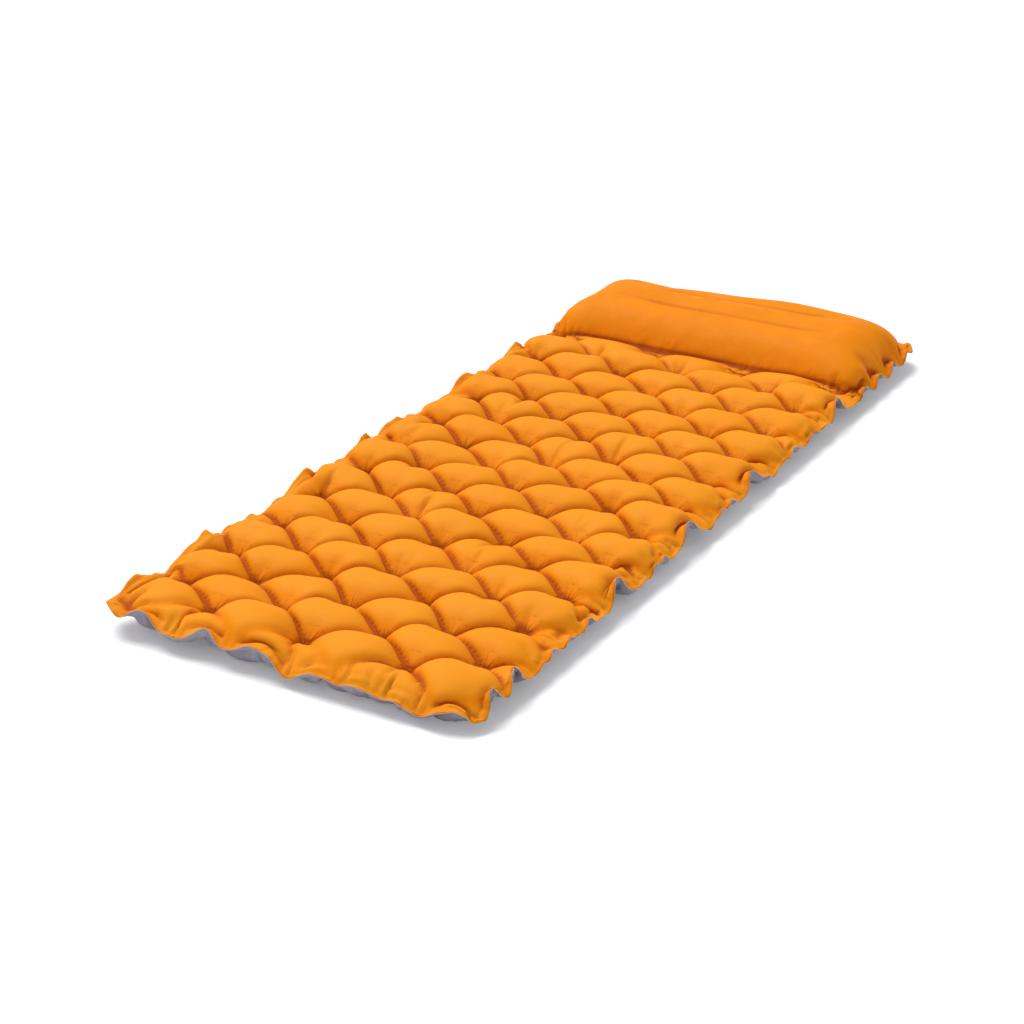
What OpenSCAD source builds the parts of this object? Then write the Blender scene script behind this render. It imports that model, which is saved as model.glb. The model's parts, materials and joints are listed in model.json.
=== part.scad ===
// Inflatable sleeping pad with a built-in bolster pillow.
// +Z up, +Y towards the head, origin under the middle of the pad, on the ground.

/* [Pad] */
// Overall length, edge flange included
pad_l = 1900; // [1750:10:2000]
// Overall width, edge flange included
pad_w = 750; // [600:10:800]
// Thickness of the inflated mattress over its domes
mattress_h = 66; // [56:2:80]
// Height of the inflated pillow
pillow_h = 110; // [95:1:120]
// Length of the pillow section, from the cross weld to the head edge
pillow_l = 329; // [310:1:360]
// Width of the welded edge flange
flange_w = 18; // [14:1:24]
// Radius of the pad's corners in plan
corner_r = 60; // [40:5:80]
// Thickness of a fabric sheet as modelled
sheet_t = 1; // [0.8:0.1:1.2]

/* [Quilting] */
// Distance across between domes of one row
dome_pitch = 197; // [150:1:200]
// Distance along the pad from one row of welds to the next
row_pitch = 68.5; // [60:0.5:68.5]
// Foot edge to the line that the weld rows are counted from
row_start = 20; // [10:1:30]
// Number of weld rows
rows = 22; // [18:1:22]
// Radius of a weld spot
weld_r = 8; // [6:1:12]
// Radius of a dimple where it meets the top of the domes
dimple_r = 38; // [25:1:42]

/* [Pillow] */
// Depth of the pillow's rounded front
pillow_front = 85; // [70:5:90]
// Radius between the pillow's crown and its rear slope
pillow_rear_r = 40; // [20:5:45]
// Cross weld to the front baffle
baffle_front_y = 115; // [100:1:125]
// Cross weld to the rear baffle
baffle_rear_y = 200; // [180:1:210]
// Length of each baffle across the pad
baffle_w = 500; // [400:10:500]

/* [Valve] */
// Valve's distance from the pad's middle, to the -X side
valve_x = 200; // [100:5:220]
// Valve centre up the pillow's rear slope, from the flange
valve_up = 45; // [42:1:48]
// Radius of the wide deflation mouth
mouth_r = 16; // [16:0.5:16.5]
// Radius of the inflation port
port_r = 8; // [7:0.5:8.5]

/* [Hidden] */
$fn = 64;

// Heights: the two sheets meet at half the mattress thickness.
mid_z = mattress_h / 2;
dome_h = mattress_h - mid_z;
bolster_h = pillow_h - mid_z;

// Stations along Y.
foot_y = -pad_l / 2;
head_y = pad_l / 2;
seam_y = head_y - pillow_l;
seam_half = 6;
chamber_w = pad_w - 2 * flange_w;

// Depths of the rounded sides of the chambers.
mattress_side = 45;
foot_end = 50;
seam_end = 40;
pillow_side = 80;
steps = 6;
over = 1;

// Valve, measured from the outer face of the pillow's rear slope.
slope = 45;
patch_r = 34;
patch_t = 0.8;
hole_r = mouth_r + 4.2;
socket_r = mouth_r + 4;
socket_low = -7;
rim_z = 6;
strap_w = 12;
plug_hinge_x = mouth_r + 13;
plug_r = socket_r;
plug_low = -4;
gasket_t = 1;
lid_z = rim_z + gasket_t;
lid_top = lid_z + 2;
boss_r = port_r + 3;
boss_top = lid_top + 2.5;
port_low = 5;
seat_r = port_r - 1;
seat_t = 1.5;
hub_r = 3;
stem_r = 1.4;
disc_r = port_r + 1.5;
disc_t = 0.8;
disc_lift = 2;
cap_hinge_x = -16.8;
cap_seal_t = 0.8;
cap_z = boss_top + cap_seal_t;
cap_t = 1.6;
skirt_in = boss_r + 0.6;
skirt_out = skirt_in + 1;
gap = 0.2;

// Quarter of an ellipse that leaves the flange upright and ends level.
function quarter(a, h) =
    [for (i = [0:steps]) [a * (1 - cos(90 * i / steps)), h * sin(90 * i / steps)]];

// Straight slope rising from the flange, rounded off into a level crown.
function slope_rise(h, r) =
    let (mid = [h + r * tan(slope / 2), h - r])
    concat(
        [[0, 0]],
        [for (i = [0:steps]) mid + r * [cos(135 - 45 * i / steps), sin(135 - 45 * i / steps)]]
    );

// Closed outline between two stations, from the rise at its start and the rise at its end.
function between(a, b, rise_a, rise_b) =
    concat(
        [for (p = rise_a) [a + p[0], p[1]]],
        [for (i = [len(rise_b) - 1:-1:0]) [b - rise_b[i][0], rise_b[i][1]]]
    );

// Rectangle with rounded corners, from its middle.
module rounded(w, l, r) {
    square([w - 2 * r, l], center = true);
    square([w, l - 2 * r], center = true);
    for (x = [-1, 1])
        for (y = [-1, 1])
            translate([x * (w / 2 - r), y * (l / 2 - r)])
                circle(r = r);
}

module pad_outline(inset) {
    rounded(pad_w - 2 * inset, pad_l - 2 * inset, corner_r - inset);
}

// One air space above the weld plane: side profile and long profile, mitred together.
module chamber(side, long, h, inset) {
    intersection() {
        translate([0, pad_l, 0])
            rotate([90, 0, 0])
                linear_extrude(2 * pad_l)
                    polygon(side);
        translate([-pad_w, 0, 0])
            rotate([90, 0, 90])
                linear_extrude(2 * pad_w)
                    polygon(long);
        linear_extrude(h + over)
            pad_outline(flange_w + inset);
    }
}

module mattress_chamber(inset) {
    h = dome_h - inset;
    half = chamber_w / 2 - inset;
    chamber(
        between(-half, half, quarter(mattress_side, h), quarter(mattress_side, h)),
        between(
            foot_y + flange_w + inset,
            seam_y - seam_half - inset,
            quarter(foot_end, h),
            quarter(seam_end, h)
        ),
        h,
        inset
    );
}

module pillow_chamber(inset) {
    h = bolster_h - inset;
    half = chamber_w / 2 - inset;
    chamber(
        between(-half, half, quarter(pillow_side, h), quarter(pillow_side, h)),
        between(
            seam_y + seam_half + inset,
            head_y - flange_w - inset / cos(slope),
            quarter(pillow_front, h),
            slope_rise(h, pillow_rear_r - inset)
        ),
        h,
        inset
    );
}

module pillow_tray(inset) {
    h = dome_h - inset;
    half = chamber_w / 2 - inset;
    chamber(
        between(-half, half, quarter(mattress_side, h), quarter(mattress_side, h)),
        between(
            seam_y + seam_half + inset,
            head_y - flange_w - inset,
            quarter(seam_end, h),
            quarter(foot_end, h)
        ),
        h,
        inset
    );
}

// Weld spots in a diamond lattice: three across and four across by turns.
module at_welds() {
    for (row = [1:rows])
        for (i = row % 2 == 1 ? [-1:1] : [-1.5:1.5])
            translate([i * dome_pitch, foot_y + row_start + row * row_pitch, 0])
                children();
}

// Cones that draw the sheet down to each weld spot.
module dimples(floor_z, grow) {
    flare = (dimple_r - weld_r) / dome_h;
    at_welds()
        translate([0, 0, floor_z])
            cylinder(
                h = dome_h,
                r1 = weld_r + grow + flare * floor_z,
                r2 = weld_r + grow + flare * (floor_z + dome_h)
            );
}

// Quilted half of the mattress, lying on the weld plane.
module quilted_shell() {
    difference() {
        mattress_chamber(0);
        dimples(sheet_t, 0);
        difference() {
            mattress_chamber(sheet_t);
            dimples(0, sheet_t * 1.4);
        }
    }
}

// Flat weld margin round the air spaces, between two stations.
module margin(from_y, to_y) {
    half = seam_half + sheet_t / 2;
    linear_extrude(sheet_t)
        difference() {
            intersection() {
                pad_outline(0);
                translate([-pad_w / 2, from_y])
                    square([pad_w, to_y - from_y]);
            }
            difference() {
                pad_outline(flange_w + sheet_t / 2);
                translate([-pad_w / 2, seam_y - half])
                    square([pad_w, 2 * half]);
            }
        }
}

// Moves a piece drawn round +Z to the valve's place on the pillow's rear slope.
module at_valve() {
    translate([
        -valve_x,
        head_y - flange_w - valve_up * cos(slope),
        mid_z + valve_up * sin(slope)
    ])
        rotate([-slope, 0, 0])
            children();
}

module bottom_sheet() {
    color([0.62, 0.6, 0.66])
        translate([0, 0, mid_z])
            mirror([0, 0, 1]) {
                quilted_shell();
                difference() {
                    pillow_tray(0);
                    pillow_tray(sheet_t);
                }
                margin(foot_y, head_y);
            }
}

module mattress_top_sheet() {
    color([0.96, 0.56, 0.13])
        translate([0, 0, mid_z]) {
            quilted_shell();
            margin(foot_y, seam_y + seam_half);
        }
}

module pillow_top_sheet() {
    color([0.96, 0.56, 0.13])
        difference() {
            translate([0, 0, mid_z]) {
                difference() {
                    pillow_chamber(0);
                    pillow_chamber(sheet_t);
                }
                margin(seam_y + seam_half, head_y);
                translate([-chamber_w / 2, seam_y - seam_half, sheet_t])
                    cube([chamber_w, 2 * seam_half + sheet_t / 2, sheet_t]);
            }
            at_valve()
                translate([0, 0, -5])
                    cylinder(h = 10, r = hole_r);
        }
}

// Strip of fabric on edge inside the pillow, welded by a tab to each sheet.
module baffle(from_seam) {
    tab = 8;
    tall = pillow_h - 2 * sheet_t;
    color([0.85, 0.84, 0.82])
        translate([-baffle_w / 2, seam_y + from_seam, sheet_t]) {
            translate([0, -sheet_t / 2, 0])
                cube([baffle_w, sheet_t, tall]);
            for (z = [0, tall - sheet_t])
                translate([0, -tab, z])
                    cube([baffle_w, 2 * tab, sheet_t]);
        }
}

module pillow_baffle_front() {
    baffle(baffle_front_y);
}

module pillow_baffle_rear() {
    baffle(baffle_rear_y);
}

// Ring or disc round the valve's axis.
module ring(inner, outer, low, high) {
    rotate_extrude()
        translate([inner, low])
            square([outer - inner, high - low]);
}

// Block centred on the valve's cross axis.
module bar(from_x, to_x, wide, low, high) {
    translate([from_x, -wide / 2, low])
        cube([to_x - from_x, wide, high - low]);
}

module valve_patch() {
    color([0.9, 0.5, 0.12])
        at_valve()
            ring(hole_r, patch_r, 0, patch_t);
}

module valve_socket() {
    flange_r = patch_r - 3;
    flange_t = 1.2;
    tube_r = mouth_r + 2;
    color([0.16, 0.16, 0.18])
        at_valve()
            rotate_extrude()
                polygon([
                    [mouth_r, socket_low],
                    [tube_r, socket_low],
                    [tube_r, -sheet_t - flange_t],
                    [flange_r, -sheet_t - flange_t],
                    [flange_r, -sheet_t],
                    [socket_r, -sheet_t],
                    [socket_r, rim_z],
                    [mouth_r, rim_z]
                ]);
}

module plug_strap() {
    low = patch_t + gap;
    high = low + 2.6;
    tip = plug_hinge_x - gap;
    color([0.2, 0.2, 0.22])
        at_valve() {
            ring(socket_r + gap, socket_r + 3, low, high);
            bar(socket_r + 2, tip, strap_w, low, high);
            bar(tip - 2.3, tip, strap_w, high, rim_z - gap);
        }
}

module deflation_plug() {
    tip = plug_hinge_x - gap;
    spigot_high = mouth_r - 0.4;
    spigot_low = mouth_r - 1.6;
    color([0.16, 0.16, 0.18])
        at_valve() {
            rotate_extrude()
                polygon([
                    [seat_r, 0],
                    [spigot_low - 2, 0],
                    [spigot_low - 2, plug_low],
                    [spigot_low, plug_low],
                    [spigot_high, rim_z],
                    [spigot_high, lid_z],
                    [plug_r, lid_z],
                    [plug_r, lid_top],
                    [boss_r, lid_top],
                    [boss_r, boss_top],
                    [port_r, boss_top],
                    [port_r, port_low],
                    [seat_r, port_low]
                ]);
            // Spider that carries the check valve's stem.
            ring(stem_r + gap, hub_r, 0, seat_t);
            for (turn = [0:120:240])
                rotate([0, 0, turn])
                    bar(hub_r - 0.3, seat_r + 0.5, 1.6, 0, seat_t);
            // Hinge tongue with its lip, and the pull tab on the other side.
            bar(plug_r - 1, tip, strap_w, lid_z, lid_top);
            bar(tip - 2.3, tip, strap_w, rim_z + gap, lid_z);
            bar(-plug_r - 6, -plug_r + 1, 14, lid_z + 0.4, lid_top);
        }
}

module plug_gasket() {
    color([0.75, 0.75, 0.72])
        at_valve()
            ring(mouth_r + 0.3, plug_r - 0.5, rim_z, lid_z);
}

module check_valve_disc() {
    head_low = seat_t + disc_lift + 0.1;
    head_high = head_low + 0.8;
    color([0.88, 0.88, 0.85])
        at_valve()
            rotate_extrude()
                polygon([
                    [0, -disc_t],
                    [disc_r, -disc_t],
                    [disc_r, 0],
                    [stem_r, 0],
                    [stem_r, head_low],
                    [stem_r + 1, head_low],
                    [stem_r + 1, head_high],
                    [0, head_high]
                ]);
}

module cap_strap() {
    tip = cap_hinge_x + gap;
    color([0.2, 0.2, 0.22])
        at_valve() {
            bar(-plug_r + 1, tip + 2, 9, lid_top, lid_top + 1);
            bar(tip, tip + 2, 9, lid_top + 1, boss_top - gap);
        }
}

module inflation_cap() {
    tip = cap_hinge_x + gap;
    color([0.16, 0.16, 0.18])
        at_valve() {
            ring(0, skirt_out, cap_z, cap_z + cap_t);
            ring(skirt_in, skirt_out, boss_top - 1.6, cap_z);
            bar(tip, -skirt_in, 9, cap_z, cap_z + cap_t);
            bar(tip, tip + 2, 9, boss_top + gap, cap_z);
            bar(skirt_in, skirt_out + 4.4, 8, cap_z, cap_z + cap_t);
        }
}

module cap_gasket() {
    color([0.75, 0.75, 0.72])
        at_valve()
            ring(port_r + 0.5, boss_r - 0.2, boss_top, cap_z);
}

bottom_sheet();
mattress_top_sheet();
pillow_top_sheet();
pillow_baffle_front();
pillow_baffle_rear();
valve_patch();
valve_socket();
plug_strap();
deflation_plug();
plug_gasket();
check_valve_disc();
cap_strap();
inflation_cap();
cap_gasket();
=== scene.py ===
import json
import math

import bpy
import numpy as np
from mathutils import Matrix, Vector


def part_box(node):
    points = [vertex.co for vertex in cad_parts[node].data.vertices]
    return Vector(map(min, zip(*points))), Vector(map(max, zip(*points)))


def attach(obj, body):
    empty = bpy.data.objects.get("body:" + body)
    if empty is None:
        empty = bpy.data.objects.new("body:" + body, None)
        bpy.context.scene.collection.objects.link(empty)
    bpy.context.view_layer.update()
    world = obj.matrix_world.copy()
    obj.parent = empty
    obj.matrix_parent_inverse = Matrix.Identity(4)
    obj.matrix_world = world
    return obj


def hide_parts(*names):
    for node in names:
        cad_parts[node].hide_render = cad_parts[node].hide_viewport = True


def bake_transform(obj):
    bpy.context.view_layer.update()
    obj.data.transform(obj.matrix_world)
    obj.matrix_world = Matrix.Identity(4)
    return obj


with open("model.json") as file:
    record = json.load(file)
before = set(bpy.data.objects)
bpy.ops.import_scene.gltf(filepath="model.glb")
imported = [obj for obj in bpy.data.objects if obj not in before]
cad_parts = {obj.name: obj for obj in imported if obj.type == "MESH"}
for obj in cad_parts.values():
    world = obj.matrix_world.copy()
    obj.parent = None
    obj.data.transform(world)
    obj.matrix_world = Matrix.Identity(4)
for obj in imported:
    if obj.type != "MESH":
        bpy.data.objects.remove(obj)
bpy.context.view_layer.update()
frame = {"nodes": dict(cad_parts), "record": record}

# ---------------------------------------------------------------------------
# Layout of the pad, in metres. Z = 0 is the surface that it lies on.
# ---------------------------------------------------------------------------
SHEET_LOW, SHEET_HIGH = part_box("bottom_sheet")
PAD_W = SHEET_HIGH[0] - SHEET_LOW[0]
PAD_L = SHEET_HIGH[1] - SHEET_LOW[1]

# Width of the flange at the two ends, radius of the corners and height of the welds. Then the weld
# lattice: its pitch across and along, the place of row 0 from the foot edge and the number of rows.
FLANGE = 0.018
CORNER = 0.060
WELD_PLANE = 0.033
DOME_PITCH = 0.197
ROW_PITCH = 0.0685
ROW_START = 0.020
ROWS = 22

# The cross weld, and how far the pillow's sheet laps over it.
SEAM_LAP = 0.006
SEAM_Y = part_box("pillow_top_sheet")[0][1] + SEAM_LAP

# The two baffles: their places, half their length and the height that they hold.
BAFFLE_Y = [SEAM_Y + 0.115, SEAM_Y + 0.200]
BAFFLE_HALF = 0.250
BAFFLE_TIE = 0.1005

# Width of the edge weld, thickness of the cloth, and half the gap left in a weld for the glue.
BORDER = 0.0055
FABRIC = 0.0006
GLUE = 0.00005

# Valve: its centre on the outer face of the pillow's rear slope, its own axes, the patch round it
# and the hole in the cloth under it.
ROOT_HALF = math.sqrt(0.5)
VALVE_UP = 0.045
VALVE = np.array([
    -0.200,
    PAD_L / 2 - FLANGE - VALVE_UP * ROOT_HALF,
    WELD_PLANE + VALVE_UP * ROOT_HALF,
])
VALVE_X = np.array([1.0, 0.0, 0.0])
VALVE_Y = np.array([0.0, ROOT_HALF, -ROOT_HALF])
VALVE_Z = np.array([0.0, ROOT_HALF, ROOT_HALF])
PATCH_R = 0.034
CUT_R = 0.0245

# Cloth grid: cells across and along, chosen so that every weld spot falls on a grid point. Half of
# the chamber's width has CHAMBER_CELLS, the rim beside it RIM_CELLS, the flange at each end
# FLANGE_CELLS, and the strip between the last weld row and the cross weld GAP_CELLS.
CELLS_PER_DOME = 36
CELLS_PER_ROW = 12
CHAMBER_CELLS = 65
RIM_CELLS = 5
FLANGE_CELLS = 6
GAP_CELLS = 8
PILLOW_CELLS = 56

# Small wrinkles: length of one along a hem, and a measure of how many fan out from a weld spot.
# They are weakest and strongest at these distances from a hem or a spot.
HEM_WRINKLE = 0.024
HEM_REACH = (0.034, 0.004)
SPOT_WRINKLES = 2.6
SPOT_REACH = (0.040, 0.008)

# Shade down in the folds: how sharply the cloth bends where it starts and where it is full, how many
# grid points apart that bend is measured, and the passes that soften it.
FOLD_BEND = (0.0006, 0.0044)
FOLD_STRIDES = (1, 2, 3)
FOLD_BLUR = 3

# How much longer the cloth is than the space it fills, across (x) and along (y): over the middle of
# a dome, on the creases between the welds, in the flange and beside the cross weld.
EASE_X = 1.135
EASE_Y = 1.29
CREASE_X = 1.00
CREASE_Y = 1.03
EASE_FLANGE = 1.015
EASE_SEAM = 1.03

# The same in the pillow: across, along in front of the baffles, between them and behind them, and
# along in the sheet under it.
EASE_PILLOW_X = 1.005
EASE_PILLOW_FRONT = 1.19
EASE_PILLOW_CROWN = 1.04
EASE_PILLOW_REAR = 1.26
EASE_PILLOW_UNDER = 1.05

# Added to the ease of the bottom sheet near its sides and foot, and of the pillow near its two ends.
EASE_BELLY = 0.12
EASE_PILLOW_END = 0.40

# Distances from the outline or the cross weld where one ease gives way to another, and the nearness
# at which a row of the grid counts as behind a baffle.
EDGE_BAND = 0.05
RIM_BLEND = 0.013
SEAM_BLEND = 0.030
SEAM_BAND = (0.110, 0.050)
BELLY_BAND = (0.080, 0.030)
PILLOW_END_BAND = (0.090, 0.045)
BAFFLE_NEAR = 0.001


def smooth(low, high, x):
    """0 up to low and 1 from high on, with a smooth step between; low may be the larger."""
    t = np.clip((x - low) / (high - low), 0.0, 1.0)
    return t * t * (3 - 2 * t)


def grid_lines():
    """Flat x and y of the grid's columns and rows."""
    inner = np.arange(CHAMBER_CELLS + 1) * DOME_PITCH / CELLS_PER_DOME
    rim = inner[-1] + (PAD_W / 2 - inner[-1]) * np.arange(1, RIM_CELLS + 1) / RIM_CELLS
    half = np.concatenate([inner, rim])
    x = np.concatenate([-half[:0:-1], half])
    first = ROW_START - PAD_L / 2
    last = first + ROWS * ROW_PITCH
    head = PAD_L / 2 - FLANGE
    y = np.concatenate([
        np.linspace(-PAD_L / 2, first, FLANGE_CELLS + 1)[:-1],
        np.linspace(first, last, ROWS * CELLS_PER_ROW + 1),
        np.linspace(last, SEAM_Y, GAP_CELLS + 1)[1:],
        np.linspace(SEAM_Y, head, PILLOW_CELLS + 1)[1:],
        np.linspace(head, PAD_L / 2, FLANGE_CELLS + 1)[1:],
    ])
    return x, y


def flat_layout(step):
    """Flat x and y of each grid point, with the outline's corners rounded."""
    x, y = (line[::step] for line in grid_lines())
    flat_x, flat_y = np.meshgrid(x, y)
    a = np.clip((np.abs(flat_x) - (PAD_W / 2 - CORNER)) / CORNER, 0, 1)
    b = np.clip((np.abs(flat_y) - (PAD_L / 2 - CORNER)) / CORNER, 0, 1)
    round_x = np.sign(flat_x) * (PAD_W / 2 - CORNER + CORNER * a * np.sqrt(1 - b * b / 2))
    round_y = np.sign(flat_y) * (PAD_L / 2 - CORNER + CORNER * b * np.sqrt(1 - a * a / 2))
    return np.where(a > 0, round_x, flat_x), np.where(b > 0, round_y, flat_y)


def edge_distance(x, y):
    """Distance of each flat point from the pad's outline."""
    dx = PAD_W / 2 - np.abs(x)
    dy = PAD_L / 2 - np.abs(y)
    in_corner = (dx < CORNER) & (dy < CORNER)
    return np.where(in_corner, CORNER - np.hypot(CORNER - dx, CORNER - dy), np.minimum(dx, dy))


def weld_spots():
    """Flat centre of every weld spot: three in the odd rows and four in the even ones."""
    spots = []
    for row in range(1, ROWS + 1):
        columns = (-1, 0, 1) if row % 2 else (-1.5, -0.5, 0.5, 1.5)
        y = ROW_START - PAD_L / 2 + row * ROW_PITCH
        spots += [(column * DOME_PITCH, y) for column in columns]
    return spots


def row_of(y):
    """Flat y as a weld row number."""
    return (y + PAD_L / 2 - ROW_START) / ROW_PITCH


# Where the flange arches up or dips, as (place, height, half width): rows along the sides,
# metres across the ends.
RIGHT_WAVES = [
    (0.8, 0.030, 0.22), (1.3, -0.006, 0.15), (1.8, 0.030, 0.22), (2.7, -0.005, 0.30),
    (3.5, 0.014, 0.16), (4.0, -0.006, 0.14), (4.4, 0.014, 0.16), (4.9, -0.006, 0.14),
    (5.4, 0.016, 0.18), (6.0, -0.006, 0.30), (7.0, 0.034, 0.32), (8.2, -0.007, 0.30),
    (8.9, 0.012, 0.16), (9.4, 0.010, 0.16), (11.0, 0.034, 0.32), (12.2, -0.007, 0.30),
    (12.9, 0.012, 0.16), (13.4, 0.010, 0.16), (15.0, 0.034, 0.32), (16.2, -0.007, 0.40),
    (17.6, 0.008, 0.40), (19.2, 0.006, 0.50), (21.0, 0.030, 0.36), (22.1, -0.008, 0.30),
    (22.9, 0.012, 0.20), (23.5, -0.006, 0.20), (24.1, 0.012, 0.20), (24.7, -0.006, 0.20),
    (25.3, 0.012, 0.20), (25.9, -0.004, 0.20), (26.5, 0.010, 0.25),
]
LEFT_WAVES = [
    (1.3, 0.034, 0.50), (2.6, -0.004, 0.40), (3.9, 0.040, 0.60), (5.6, 0.010, 0.50),
    (7.0, -0.006, 0.50), (8.6, 0.040, 0.60), (10.2, 0.006, 0.40), (11.6, 0.034, 0.50),
    (13.2, 0.036, 0.50), (15.2, -0.004, 0.50), (17.2, 0.036, 0.60), (18.8, 0.004, 0.40),
    (20.2, 0.034, 0.50), (22.3, -0.006, 0.40), (24.0, 0.008, 0.30), (25.4, 0.008, 0.30),
]
FOOT_WAVES = [
    (-0.277, 0.026, 0.030), (-0.213, -0.002, 0.020), (-0.148, 0.026, 0.028),
    (-0.045, 0.019, 0.042), (0.018, -0.022, 0.016), (0.085, 0.004, 0.030),
    (0.160, 0.003, 0.030), (0.215, -0.004, 0.012), (0.272, -0.013, 0.028),
    (0.336, 0.018, 0.022),
]
HEAD_WAVES = [
    (-0.250, 0.010, 0.040), (-0.050, -0.008, 0.050), (0.100, 0.010, 0.050),
    (0.260, -0.006, 0.040),
]

# An arch draws the free edge inwards by this share of its height.
DRAW_IN = 0.45

# Lift of each corner, keyed by (side, end), and how far round the corner it is felt.
CORNER_LIFTS = {(-1, -1): 0.030, (1, -1): -0.022, (-1, 1): 0.006, (1, 1): 0.012}
CORNER_REACH = 0.045

# The corners are welded flat, out to this far from where the straight edges would meet.
CORNER_TABS = {(-1, -1): 0.062, (1, -1): 0.034, (-1, 1): 0.050, (1, 1): 0.058}
TAB_BLEND = 0.006

# Small ruffles between the arches, as (height, length of one wave, shift), and how much of them
# the two ends have.
RUFFLES = [(0.0036, 0.040, 0.0), (0.0045, 0.073, 1.1)]
END_RUFFLES = 0.5

# Height of the cross weld over the other welds, and how far from the sides it starts and is full.
SEAM_LIFT = 0.009
SEAM_LIFT_BAND = (0.02, 0.09)

# The domes differ by this share, in slow waves of (radians per metre in x, in y, shift).
UNEVEN = 0.30
UNEVEN_WAVES = [(11, 7.3, 0), (-13, 17, 2)]

# Share of the way from a crease to a dome's middle over which the cloth grows from short to long.
CREASE_BLEND = 0.3

# A dome's cloth loses this share of its extra length at a weld spot, and less out to this radius.
DIMPLE = 0.9
DIMPLE_R = 0.062


def corner_tab(x, y):
    """1 in the flat weld of each corner and 0 away from it."""
    tab = np.zeros_like(x)
    for (side, end), radius in CORNER_TABS.items():
        away = np.hypot(x - side * PAD_W / 2, y - end * PAD_L / 2)
        tab = np.maximum(tab, smooth(radius + TAB_BLEND, radius, away))
    return tab


def waves(place, wave_list):
    """Height of a row of arches and dips along an edge."""
    total = np.zeros_like(place)
    for centre, height, half in wave_list:
        total += height * np.exp(-((place - centre) / half) ** 2)
    return total


def ruffle(along):
    """Height of the small ruffles along an edge."""
    return sum(height * np.sin(2 * math.pi * along / length + shift)
               for height, length, shift in RUFFLES)


def flange_lead(x, y):
    """Where the flange's free edge is led to: arches go up and draw inwards."""
    right = smooth(EDGE_BAND, 0.0, PAD_W / 2 - x) * waves(row_of(y), RIGHT_WAVES)
    left = smooth(EDGE_BAND, 0.0, PAD_W / 2 + x) * waves(row_of(y), LEFT_WAVES)
    foot = smooth(EDGE_BAND, 0.0, PAD_L / 2 + y) * waves(x, FOOT_WAVES)
    head = smooth(EDGE_BAND, 0.0, PAD_L / 2 - y) * waves(x, HEAD_WAVES)
    sides = smooth(EDGE_BAND, 0.0, PAD_W / 2 - np.abs(x))
    ends = smooth(EDGE_BAND, 0.0, PAD_L / 2 - np.abs(y))
    height = right + left + foot + head + sides * ruffle(y + x)
    height += END_RUFFLES * ends * ruffle(x - y)
    for (side, end), lift in CORNER_LIFTS.items():
        away = np.hypot(x - side * PAD_W / 2, y - end * PAD_L / 2)
        height += lift * np.exp(-(away / CORNER_REACH) ** 2)
    across = DRAW_IN * (np.maximum(left, 0) - np.maximum(right, 0))
    along = DRAW_IN * (np.maximum(foot, 0) - np.maximum(head, 0))
    return np.stack([x + across, y + along, WELD_PLANE + height], -1)


def flange_eases(x, y):
    """Ease across and along that gives the flange the length of the line it is led to."""
    led = flange_lead(x, y)
    flat = np.stack([x, y], -1)
    pair = []
    for axis in (1, 0):
        length = np.linalg.norm(np.gradient(led, axis=axis), axis=-1)
        flat_length = np.linalg.norm(np.gradient(flat, axis=axis), axis=-1)
        pair.append(EASE_FLANGE * np.maximum(1.0, length / flat_length))
    return pair


def dome_share(x, y):
    """0 on the creases that run from weld to weld, 1 over the middle of each dome."""
    column = 2 * x / DOME_PITCH
    row = row_of(y)
    away = [2 * np.abs(line - np.round(line))
            for line in ((column + row - 1) / 2, (column - row - 1) / 2)]
    uneven = sum(np.sin(in_x * x + in_y * y + shift) for in_x, in_y, shift in UNEVEN_WAVES)
    spot = np.min([np.hypot(x - spot_x, y - spot_y) for spot_x, spot_y in weld_spots()], axis=0)
    dimple = 1 - DIMPLE * smooth(DIMPLE_R, 0.0, spot)
    middle = smooth(0.0, CREASE_BLEND, np.minimum(*away))
    return middle * dimple * (1 + UNEVEN * uneven / 2)


def eases(x, y):
    """Ease across and along at each grid point, for the top and the bottom sheet."""
    pillow = smooth(SEAM_Y - SEAM_BLEND, SEAM_Y, y)
    from_side = PAD_W / 2 - np.abs(x)
    side = smooth(0.0, EDGE_BAND, from_side)
    front = y < BAFFLE_Y[0] - BAFFLE_NEAR
    rear = y > BAFFLE_Y[1] - BAFFLE_NEAR
    crown = np.where(rear, EASE_PILLOW_REAR, EASE_PILLOW_CROWN)
    crown = np.where(front, EASE_PILLOW_FRONT, crown)
    dome = dome_share(x, y)
    mattress_x = CREASE_X + (EASE_X - CREASE_X) * dome
    mattress_y = CREASE_Y + (EASE_Y - CREASE_Y) * dome
    by_seam = smooth(*SEAM_BAND, SEAM_Y - y)
    mattress_x += (EASE_SEAM - mattress_x) * by_seam
    mattress_y += (EASE_SEAM - mattress_y) * by_seam
    across = mattress_x + (EASE_PILLOW_X - mattress_x) * pillow
    top = EASE_PILLOW_UNDER + (crown - EASE_PILLOW_UNDER) * side
    along = np.stack([
        mattress_y + (top - mattress_y) * pillow,
        mattress_y + (EASE_PILLOW_UNDER - mattress_y) * pillow,
    ])
    edge = edge_distance(x, y)
    rim = np.maximum(smooth(BORDER + RIM_BLEND, BORDER, edge), corner_tab(x, y))
    led_x, led_y = flange_eases(x, y)
    across = across + (led_x - across) * rim
    along = along + (led_y - along) * rim
    inside = smooth(0.0, BORDER, edge)
    near_side = smooth(*BELLY_BAND, from_side) * inside
    near_foot = smooth(*BELLY_BAND, PAD_L / 2 + y) * inside
    end = smooth(*PILLOW_END_BAND, from_side) * inside * pillow * EASE_PILLOW_END
    across = np.stack([across + end, across + EASE_BELLY * near_side])
    along[1] += EASE_BELLY * near_foot
    return across, along


# The baffles rise towards their ends, from this far off the middle, and ripple a little.
BAFFLE_RISE = 0.007
BAFFLE_RISE_FROM = 0.14
BAFFLE_RIPPLE = 0.0012


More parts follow.
